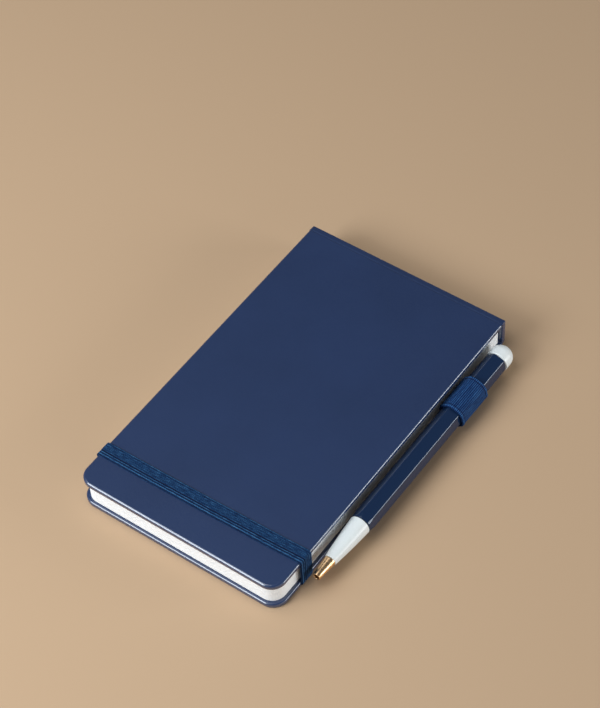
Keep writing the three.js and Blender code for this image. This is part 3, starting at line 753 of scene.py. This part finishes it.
def drawn(outline, index, draw, x):
    """One point of a closed (y, z) outline, drawn inwards, at one x."""
    count = len(outline) - 1
    before = Vector(outline[(index - 1) % count])
    after = Vector(outline[(index + 1) % count])
    along = (after - before).normalized()
    moved = Vector(outline[index]) + Vector((-along.y, along.x)) * draw
    return (x, moved.x, moved.y)


def band_skew(x):
    """How far along Y the band lies at one x, from its middle."""
    skew = (BAND_HIGH.y - BAND_LOW.y - BAND_WIDTH) / (BAND_HIGH.x - BAND_LOW.x)
    return skew * x


def skewed_block(low, high):
    """A block whose Y follows the band's slight skew."""
    piece = block(low, high)
    for v in piece.data.vertices:
        v.co.y += band_skew(v.co.x / MM) * MM
    return piece


def cut_band_slots(piece):
    """Cuts a channel in the back cover's underside and a slot through it, for each end of the band."""
    reach = BAND_WIDTH / 2 + BAND_ROOM
    for side in (-1, 1):
        beyond = side * (HALF_WIDTH + CUT_PAST)
        slot_near = side * (BAND_END_LOW.x - SLOT_ROOM)
        slot_far = side * (BAND_END_HIGH.x + SLOT_ROOM)
        channel = (sorted((slot_near, beyond)), CUT_BELOW, CHANNEL_DEPTH, 0)
        slot = (sorted((slot_near, slot_far)), SLOT_FLOOR, CUT_ABOVE, SLOT_INSET)
        for ends, floor, top, inset in (channel, slot):
            low = (ends[0] + inset, BAND_Y - reach + inset, floor)
            high = (ends[1] - inset, BAND_Y + reach - inset, top)
            combine(piece, skewed_block(low, high), "DIFFERENCE")


def cut_tab_recess(piece):
    """Cuts the recess in the back cover's upper side where the pen loop's tab is glued."""
    tab_low = place("pen_loop_tab")[0]
    low = (tab_low.x - TAB_ROOM, tab_low.y - TAB_ROOM, tab_low.z - TAB_DROP)
    high = (HALF_WIDTH + TAB_PAST, LOOP_HIGH.y + TAB_ROOM, CUT_ABOVE)
    combine(piece, block(low, high), "DIFFERENCE")


def make_back_cover():
    outline = Outline(HALF_WIDTH, FREE_Y, HINGE.y - BACK_END, COVER_CORNER)
    profile = board_profile(0, COVER_THICKNESS, BACK_EDGE_LOW, BACK_EDGE_TOP)
    piece = slab("cover_back", COVERING_FINISH, outline, profile)
    combine(piece, make_spine_solid(), "UNION")
    cut_band_slots(piece)
    cut_tab_recess(piece)
    line_board_hollow(piece, "back_board")
    line_board_hollow(piece, "spine_board")
    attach(piece, "back_case")
    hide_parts("back_cover_wrap")


# ---- Pages ----
def fold_rows(end_y):
    """Closely spaced rows beside the spine, where a leaf bends."""
    start = end_y - FOLD_REACH
    return [start - lead for lead in FOLD_LEAD] + spread(start, end_y - FOLD_END, FOLD_ROWS)


def make_sections():
    for number in range(1, SECTIONS + 1):
        low, high = place(f"section_{number}")
        moving = number == 1
        rows = fold_rows(high.y) if moving else ()
        outline = Outline(high.x, low.y, high.y, PAGE_CORNER, rows)
        profile = leaf_profile(low.z, high.z, LEAVES_PER_SECTION)
        piece = slab(f"page_section_{number}", PAGE_FINISH, outline, profile, SOFT_SHARP, round_end=True)
        if number == SECTIONS:
            press_over_pocket(piece)
        if moving:
            bend_at_spine(piece)
        else:
            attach(piece, "back_case")
        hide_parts(f"section_{number}")


def press_over_pocket(piece):
    """The last section is pressed hollow over the pocket."""
    gusset_low, gusset_high = place("pocket_gusset")
    panel_top = place("pocket_panel")[1].z
    low = (gusset_low.x - POCKET_ROOM, gusset_low.y - POCKET_ROOM, gusset_low.z - POCKET_CUT)
    high = (gusset_high.x + POCKET_ROOM, REAR_Y, panel_top + POCKET_LIFT)
    combine(piece, block(low, high), "DIFFERENCE", SOFT_SHARP)


def bend_at_spine(piece):
    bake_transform(piece)


def make_flyleaf():
    outline = Outline(LEAF_HIGH.x, LEAF_LOW.y, LEAF_HIGH.y, PAGE_CORNER, fold_rows(LEAF_HIGH.y))
    piece = slab("flyleaf_sheet", ENDPAPER_FINISH, outline, [(0, LEAF_LOW.z), (0, LEAF_HIGH.z)])
    bend_at_spine(piece)
    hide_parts("flyleaf")


# ---- Closure band ----
def band_relief(t):
    """Height of the band's ribs across its width, from the rear edge (0) to the front edge (1)."""
    edge = BAND_EDGE * (bell(t, 0, BAND_EDGE_SHARE) + bell(1 - t, 0, BAND_EDGE_SHARE))
    ribs = BAND_RIB * math.cos(2 * math.pi * t * BAND_WIDTH / BAND_CORD)
    grooves = sum(BAND_GROOVE * bell(t, middle, half) for middle, half in BAND_GROOVES)
    return ribs - grooves - edge


def band_turn(x, z, start, end, steps):
    """(x, z, outward x, outward z) of points round a bend of the band, whose centre is at x, z."""
    points = []
    for angle in spread(start, end, steps):
        c, s = math.cos(angle), math.sin(angle)
        points.append((x + BAND_BEND * c, z + BAND_BEND * s, c, s))
    return points


def band_path():
    """(x, z, outward x, outward z, distance) along the band's middle, from one slot to the other."""
    half = BAND_THICKNESS / 2
    side = BAND_HIGH.x - half
    top = BAND_HIGH.z - half
    low = BAND_LOW.z + half
    start = BAND_END_LOW.x + half
    under_points, low_turn, upright_points, high_turn, top_points = 6, 9, 9, 11, 24
    path = [(x, low, 0, -1) for x in spread(start, side - BAND_BEND, under_points)]
    path += band_turn(side - BAND_BEND, low + BAND_BEND, -math.pi / 2, 0, low_turn)[1:]
    path += [(side, z, 1, 0) for z in spread(low + BAND_BEND, top - BAND_BEND, upright_points)[1:-1]]
    path += band_turn(side - BAND_BEND, top - BAND_BEND, 0, math.pi / 2, high_turn)
    path += [(x, top, 0, 1) for x in spread(side - BAND_BEND, 0, top_points)[1:]]
    path += [(-x, z, -nx, nz) for x, z, nx, nz in reversed(path[:-1])]
    placed = []
    distance = 0
    for i, (x, z, nx, nz) in enumerate(path):
        if i:
            distance += math.dist((x, z), path[i - 1][:2])
        placed.append((x, z, nx, nz, distance))
    return placed


def make_band():
    surface = Surface()
    half = BAND_THICKNESS / 2
    across = spread(0, 1, BAND_COLUMNS)
    outer, inner, flat_outer, flat_inner = [], [], [], []
    for x, z, nx, nz, distance in band_path():
        on_top = max(0.0, nz) if z > BAND_TOP_Z else 0.0
        wander = WANDER * noise.noise(Vector((distance / WANDER_LENGTH, *WANDER_SLICE)))
        shift = BAND_Y + band_skew(x) - BAND_BOW * on_top * (1 - (x / HALF_WIDTH) ** 2) + wander
        ys = [shift + BAND_WIDTH * (0.5 - t) for t in across]
        outs = [half + band_relief(t) - BAND_RIB for t in across]
        outer.append([(x + nx * o, y, z + nz * o) for y, o in zip(ys, outs)])
        inner.append([(x - nx * half, y, z - nz * half) for y in ys])
        flat_outer.append([(distance, BAND_WIDTH * t) for t in across])
        flat_inner.append([(distance, BAND_WIDTH * (2 - t)) for t in across])
    surface.patch(outer, flat_outer)
    surface.patch(inner, flat_inner)
    flat_edge = 0.5  # width of the band's upright edges in its flat coordinates
    for column in (0, -1):
        rows = [[a[column], b[column]] for a, b in zip(outer, inner)]
        flats = [[a[column], (a[column][0], a[column][1] + flat_edge)] for a in flat_outer]
        surface.patch(rows, flats)
    for row in (0, -1):
        surface.patch([outer[row], inner[row]], [flat_outer[row], flat_inner[row]])
    piece = surface.build("elastic_band", BAND_FINISH, BAND_SHARP)
    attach(piece, "closure_band")
    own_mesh(piece)
    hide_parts("closure_band")


# ---- Pen: local y runs from the tip to the knob ----
HEX_FLATS = 8.1
HEX_EDGE = 1.0  # radius of the hexagon's rounded edges
HEX_TURN = math.radians(70)
FACET = math.pi / 3
FLAT_RADIUS = 4  # radius that turns an angle round the pen into a distance on the flat
HAIR = 0.01  # a step so small that it only steers the shading


def hex_radius(angle, flats, edge):
    """Distance from the axis to a hexagon with rounded edges, in one direction."""
    off = (angle - HEX_TURN + FACET / 2) % FACET - FACET / 2
    apothem = flats / 2
    reach = (apothem - edge) / math.cos(FACET / 2)
    if abs(off) < math.atan((apothem - edge) * math.tan(FACET / 2) / apothem):
        return apothem / math.cos(off)
    aside = FACET / 2 - abs(off)
    return reach * math.cos(aside) + math.sqrt(max(edge**2 - (reach * math.sin(aside)) ** 2, 0))


def soft_min(a, b, blur):
    """The smaller of two numbers, with a smooth change between them."""
    h = max(0.0, min(1.0, 0.5 + 0.5 * (b - a) / blur))
    return b + (a - b) * h - blur * h * (1 - h)


def round_piece(name, material, profile, radius_at=None, segments=72):
    """A piece turned round the pen's axis. profile holds [radius, y]; radius_at may change the radius."""
    surface = Surface()
    angles = spread(0, 2 * math.pi, segments + 1)
    rows, flats = [], []
    distance = 0
    for i, (radius, y) in enumerate(profile):
        if i:
            distance += math.dist(profile[i - 1], (radius, y))
        ring = []
        for angle in angles:
            r = radius_at(angle, radius, y) if radius_at else radius
            ring.append((PEN_X + r * math.cos(angle), TIP_Y + y, PEN_Z + r * math.sin(angle)))
        rows.append(ring)
        flats.append([(angle * FLAT_RADIUS, distance) for angle in angles])
    surface.patch(rows, flats)
    return surface.build(name, material, TURNED_SHARP)


def arc(centre, radius, start, end, steps):
    """Points [radius, y] on an arc, by angles in degrees from the outward direction."""
    turns = spread(math.radians(start), math.radians(end), steps)
    return [[centre[0] + radius * math.cos(a), centre[1] + radius * math.sin(a)] for a in turns]


def make_barrel():
    start = BARREL_LOW.y - TIP_Y
    end = BARREL_HIGH.y - TIP_Y
    bore, bore_depth = 3.4, 6
    full = 4.9  # a radius outside the hexagon's corners
    front, back = 4.12, 4.38  # radius of the round ends, where the facets run out
    flare, tuck = 5.5, 2.0  # how far they run out from the front and from the back
    lip, face = 0.12, 0.3  # the ends' small rounding, and the width of their flat faces

    def envelope(y):
        rise = front + (full - front) * (y - start) / flare
        fall = back + (full - back) * (end - y) / tuck
        return min(full, rise, fall)

    def radius_at(angle, radius, y):
        if radius <= bore:
            return radius
        return soft_min(hex_radius(angle, HEX_FLATS, HEX_EDGE), envelope(y), 0.05) - (full - radius)

    outside = [[full, y] for y in spread(start + lip, start + flare + 0.5, 30)]
    outside += [[full, y] for y in spread(start + flare + 2, end - tuck - 2, 24)]
    outside += [[full, y] for y in spread(end - tuck - 0.5, end - lip, 16)]
    third = lip / 3
    profile = [[bore, start], [full - face, start], [full - lip, start + HAIR], [full - third, start + third]]
    profile += outside
    profile += [[full - third, end - third], [full - lip, end - HAIR], [full - face, end], [bore, end]]
    profile += [[bore, end - bore_depth], [bore, start + bore_depth], [bore, start]]
    piece = round_piece("hex_barrel", LACQUER_FINISH, profile, radius_at, 192)
    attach(piece, "pen")
    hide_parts("pen_barrel")


def make_cone():
    start = 8.6
    end = BARREL_LOW.y - TIP_Y - 0.1
    spigot_end = CONE_HIGH.y - TIP_Y
    bore, bore_end = 1.8, 12.5
    rim_centre, rim = 2.25, 0.2  # the small rounding at the cone's front
    slim, widening, belly = 2.45, 1.62, 0.12  # radius in front, how much wider it gets, and how far it bulges
    shoulder, shoulder_radius = 1.1, 0.55  # the rounded stretch before the barrel
    spigot, chamber, chamber_start = 3.3, 2.6, 14
    taper = end - shoulder - start - rim
    profile = [[bore, start], [rim_centre, start]]
    profile += arc((rim_centre, start + rim), rim, -90, -5, 5)
    for t in spread(0.03, 1, 18):
        profile.append([slim + widening * t + belly * math.sin(math.pi * t), start + rim + taper * t])
    profile += arc((3.62, end - 0.62), shoulder_radius, 25, 88, 7)
    profile += [[spigot, end], [spigot, spigot_end], [chamber, spigot_end], [chamber, chamber_start]]
    profile += [[bore, bore_end], [bore, start]]
    piece = round_piece("front_cone", PLASTIC_FINISH, profile)
    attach(piece, "pen")
    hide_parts("pen_cone")


def make_nozzle():
    mouth, mouth_y = 1.12, 0.25
    tail, tail_start, tail_end = 1.7, 8.5, 12  # the part of the nozzle inside the cone
    bore, bore_start = 1.25, 4
    rim_centre, rim = (1.3, 0.22), 0.18
    profile = [[mouth, mouth_y]]
    profile += arc(rim_centre, rim, 180, 300, 6)
    profile += [[1.5, 0.12], [1.56, 0.35], [1.72, 2.2], [2.26, 8.1], [2.3, 8.3], [2.27, tail_start]]
    profile += [[tail, tail_start], [tail, tail_end], [bore, tail_end], [bore, bore_start]]
    profile += [[mouth, 2], [mouth, mouth_y]]
    piece = round_piece("brass_nozzle", BRASS_FINISH, profile)
    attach(piece, "pen")
    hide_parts("pen_nozzle")


def make_knob():
    gap = 0.2  # between the barrel and the knob
    shoulder = BARREL_HIGH.y - TIP_Y + gap
    tip = KNOB_HIGH.y - TIP_Y
    stub_end = KNOB_LOW.y - TIP_Y
    radius, face, rounding = 4.7, 4.4, 0.28
    stub, bevel = 3.2, 0.1
    dome_start = tip - 4.3
    blunt, late = 0.86, 1.06  # powers that make the dome blunter than a ball
    profile = [[0, stub_end], [3.1, stub_end], [stub, stub_end + bevel], [stub, shoulder], [face, shoulder]]
    profile += arc((radius - rounding, shoulder + rounding), rounding, -80, 0, 6)
    profile += [[radius, y] for y in spread(shoulder + 0.6, dome_start, 5)]
    for angle in spread(0, math.pi / 2, 19)[1:-1]:
        height = (tip - dome_start) * math.sin(angle) ** late
        profile.append([radius * math.cos(angle) ** blunt, dome_start + height])
    profile.append([0, tip])
    piece = round_piece("twist_knob_cap", PLASTIC_FINISH, profile, segments=96)
    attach(piece, "twist_knob")
    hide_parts("pen_knob")


def make_spring():
    """The return spring, a helix whose turns lie closer together at both ends."""
    wire = 0.2  # the wire's radius
    closing = 0.045
    coil = (SPRING_HIGH.x - SPRING_LOW.x) / 2 - wire
    start = SPRING_LOW.y - TIP_Y + wire
    end = SPRING_HIGH.y - TIP_Y - wire
    turns, steps, sides = 10, 30, 10
    surface = Surface()
    rows = []
    for i in range(turns * steps + 1):
        t = i / (turns * steps)
        angle = 2 * math.pi * turns * t
        rise = t - closing * math.sin(2 * math.pi * t)
        outward = Vector((math.cos(angle), 0, math.sin(angle)))
        centre = Vector((PEN_X, TIP_Y + start + (end - start) * rise, PEN_Z)) + outward * coil
        ring = []
        for a in spread(0, 2 * math.pi, sides + 1):
            ring.append(tuple(centre + outward * wire * math.cos(a) + Vector((0, wire * math.sin(a), 0))))
        rows.append(ring)
    surface.patch(rows, [[(j, i) for j in range(sides + 1)] for i in range(len(rows))])
    surface.cap(rows[0])
    surface.cap(rows[-1])
    piece = surface.build("return_spring", STEEL_FINISH, SOFT_SHARP)
    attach(piece, "pen")
    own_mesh(piece)
    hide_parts("refill_spring")


# ---- Pen loop ----
LOOP_COLUMNS, LOOP_ROWS = 181, 74
LOOP_SAG, SAG_NARROWNESS, SAG_PLACE = 0.3, 6.6, math.radians(335)
LOOP_CORD, LOOP_CORD_HEIGHT = 0.72, 0.03
LOOP_SLACK, SLACK_ROUND, SLACK_ALONG = 0.07, 1.3, 2.2  # the weave's unevenness: size, and how fast it changes
LOOP_FLAT_RADIUS = 5.5
RIM_EDGE, RIM_EDGE_HALF = 0.3, 0.14  # how far the loop's ends round off, and over which length
RIM_HEIGHT, RIM_SLOPE = 0.1, 0.08
RIM_GROOVE, RIM_GROOVE_AWAY, RIM_GROOVE_HALF = 0.09, 0.2, 0.12  # depth, distance from the rim, half width


def loop_sag(angle):
    """The loop stands away from the barrel at its lower outer side."""
    return LOOP_SAG * math.exp(SAG_NARROWNESS * (math.cos(angle - SAG_PLACE) - 1))


def loop_outside(angle, t):
    """Radius of the loop's outside, t being its place along the pen from 0 to 1."""
    flats, rounding, widest, blur = 10.5, 3.2, 5.56, 0.4
    base = soft_min(hex_radius(angle, flats, rounding), widest, blur)
    side = min(t, 1 - t) * LOOP_LENGTH
    edge = RIM_EDGE * bell(side, 0, RIM_EDGE_HALF)
    bound = RIM_HEIGHT / (1 + math.exp((side - LOOP_RIM) / RIM_SLOPE))
    groove = RIM_GROOVE * bell(side - LOOP_RIM, RIM_GROOVE_AWAY, RIM_GROOVE_HALF)
    cords = LOOP_CORD_HEIGHT * math.cos(2 * math.pi * t * LOOP_LENGTH / LOOP_CORD)
    here = Vector((math.cos(angle) * SLACK_ROUND, math.sin(angle) * SLACK_ROUND, t * SLACK_ALONG))
    slack = LOOP_SLACK * noise.noise(here)
    return base + bound - groove - edge + cords + slack + loop_sag(angle)


def loop_inside(angle):
    flats, rounding, widest, blur = 8.8, 1.4, 4.82, 0.25
    return soft_min(hex_radius(angle, flats, rounding), widest, blur) + loop_sag(angle)


def make_loop():
    """Woven elastic that follows the hexagonal pen loosely, with a bound rim at both ends."""
    surface = Surface()
    angles = spread(0, 2 * math.pi, LOOP_COLUMNS)
    ts = spread(0, 1, LOOP_ROWS)

    def ring(radii, t):
        y = LOOP_LOW.y + LOOP_LENGTH * t
        return [(PEN_X + r * math.cos(a), y, PEN_Z + r * math.sin(a)) for a, r in zip(angles, radii)]

    outer = [ring([loop_outside(angle, t) for angle in angles], t) for t in ts]
    inside = [loop_inside(angle) for angle in angles]
    inner = [ring(inside, t) for t in ts]
    flat = [[(angle * LOOP_FLAT_RADIUS, t * LOOP_LENGTH) for angle in angles] for t in ts]
    for side in (outer, inner):
        surface.patch([list(c) for c in zip(*side)], [list(c) for c in zip(*flat)])
    for row in (0, -1):
        surface.patch([outer[row], inner[row]], [flat[row], flat[row]])
    piece = surface.build("elastic_loop", LOOP_FINISH, SOFT_SHARP)
    margin = 0.15
    strip_low = (LOOP_LOW.x, LOOP_LOW.y + margin, place("pen_loop_tab")[0].z)
    strip_high = (PEN_X - 4.55, LOOP_HIGH.y - margin, COVER_THICKNESS)
    combine(piece, block(strip_low, strip_high), "UNION", SOFT_SHARP)
    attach(piece, "back_case")
    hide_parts("pen_loop")


# ---- CAD pieces that keep their shape ----
def finish_cad_nodes():
    finishes = {
        BOARD_FINISH: ["front_board", "back_board", "spine_board"],
        ENDPAPER_FINISH: [
            "back_endpaper", "front_pastedown", "pocket_gusset", "pocket_panel", "pen_loop_tab",
        ],
        THREAD_FINISH: ["spine_lining"] + [f"sewing_thread_{i}" for i in range(1, 5)],
        BAND_FINISH: ["band_end_left", "band_end_right"],
        STEEL_FINISH: ["cam_sleeve", "refill_tip"],
        BRASS_FINISH: ["twist_shaft", "refill_pusher"],
        PLASTIC_FINISH: ["refill_tube"],
    }
    for finish, nodes in finishes.items():
        for node in nodes:
            mesh = frame["nodes"][node].data
            mesh.materials.clear()
            mesh.materials.append(finish)


# ---- Floor, lights and camera ----
CAMERA_AZIMUTH = 38.695
CAMERA_ELEVATION = 50.351
CAMERA_ROLL = -4.022
CAMERA_DISTANCE = 909.97
CAMERA_TARGET = (-17.916, 26.667, 0)
CAMERA_LENS = 119.62
CAMERA_SENSOR = 36
FLOOR_HALF = 1500


def direction(azimuth, elevation):
    """From the object towards a viewer: azimuth 0 looks along +Y, elevation is above the horizon."""
    a, e = math.radians(azimuth), math.radians(elevation)
    return Vector((math.sin(a) * math.cos(e), -math.cos(a) * math.cos(e), math.sin(e)))


def make_camera():
    camera = bpy.data.objects.new("camera", bpy.data.cameras.new("camera"))
    bpy.context.scene.collection.objects.link(camera)
    back = direction(CAMERA_AZIMUTH, CAMERA_ELEVATION)
    camera.location = (Vector(CAMERA_TARGET) + back * CAMERA_DISTANCE) * MM
    camera.rotation_euler = (-back).to_track_quat("-Z", "Y").to_euler()
    camera.rotation_euler.rotate_axis("Z", math.radians(CAMERA_ROLL))
    camera.data.lens = CAMERA_LENS
    camera.data.sensor_width = CAMERA_SENSOR
    camera.data.clip_start = 0.01
    bpy.context.scene.camera = camera


def make_floor():
    surface = Surface()
    rows = [[(x, y, 0) for x in (-FLOOR_HALF, FLOOR_HALF)] for y in (-FLOOR_HALF, FLOOR_HALF)]
    surface.patch(rows, seen_from_above(rows))
    finish = Finish("pale_floor", paint(205, 175, 143), 0.9)
    finish.set("Specular IOR Level", 0.2)
    floor = surface.build("floor", finish.material)


def area_light(name, azimuth, elevation, distance, size, power, colour):
    """A soft rectangular light, size (width, height) in metres, aimed at the pad from distance metres."""
    light = bpy.data.lights.new(name, "AREA")
    light.shape = "RECTANGLE"
    light.size, light.size_y = size
    light.energy = power
    light.color = colour
    lamp = bpy.data.objects.new(name, light)
    bpy.context.scene.collection.objects.link(lamp)
    back = direction(azimuth, elevation)
    lamp.location = back * distance
    lamp.rotation_euler = (-back).to_track_quat("-Z", "Y").to_euler()


def make_lights():
    area_light("overhead", -50, 64, 0.9, (0.7, 0.7), 3.8, (1, 1, 1))
    area_light("window", -28, 32, 1.0, (0.6, 0.4), 7.0, (0.92, 0.965, 1))
    area_light("side_fill", 70, 12, 1.3, (0.9, 0.6), 1.8, (0.98, 0.99, 1))
    area_light("backdrop", 114, 9, 1.3, (0.6, 0.46), 8.3, (0.96, 0.985, 1))
    world = bpy.data.worlds.new("studio")
    world.use_nodes = True
    background = world.node_tree.nodes["Background"]
    background.inputs["Color"].default_value = (0.95, 0.97, 1, 1)
    background.inputs["Strength"].default_value = 0.1
    bpy.context.scene.world = world
    bpy.context.scene.view_settings.view_transform = "Standard"


make_camera()
make_floor()
make_lights()
make_front_cover()
make_crease()
make_back_cover()
make_sections()
make_flyleaf()
make_band()
make_loop()
make_barrel()
make_cone()
make_nozzle()
make_knob()
make_spring()
finish_cad_nodes()
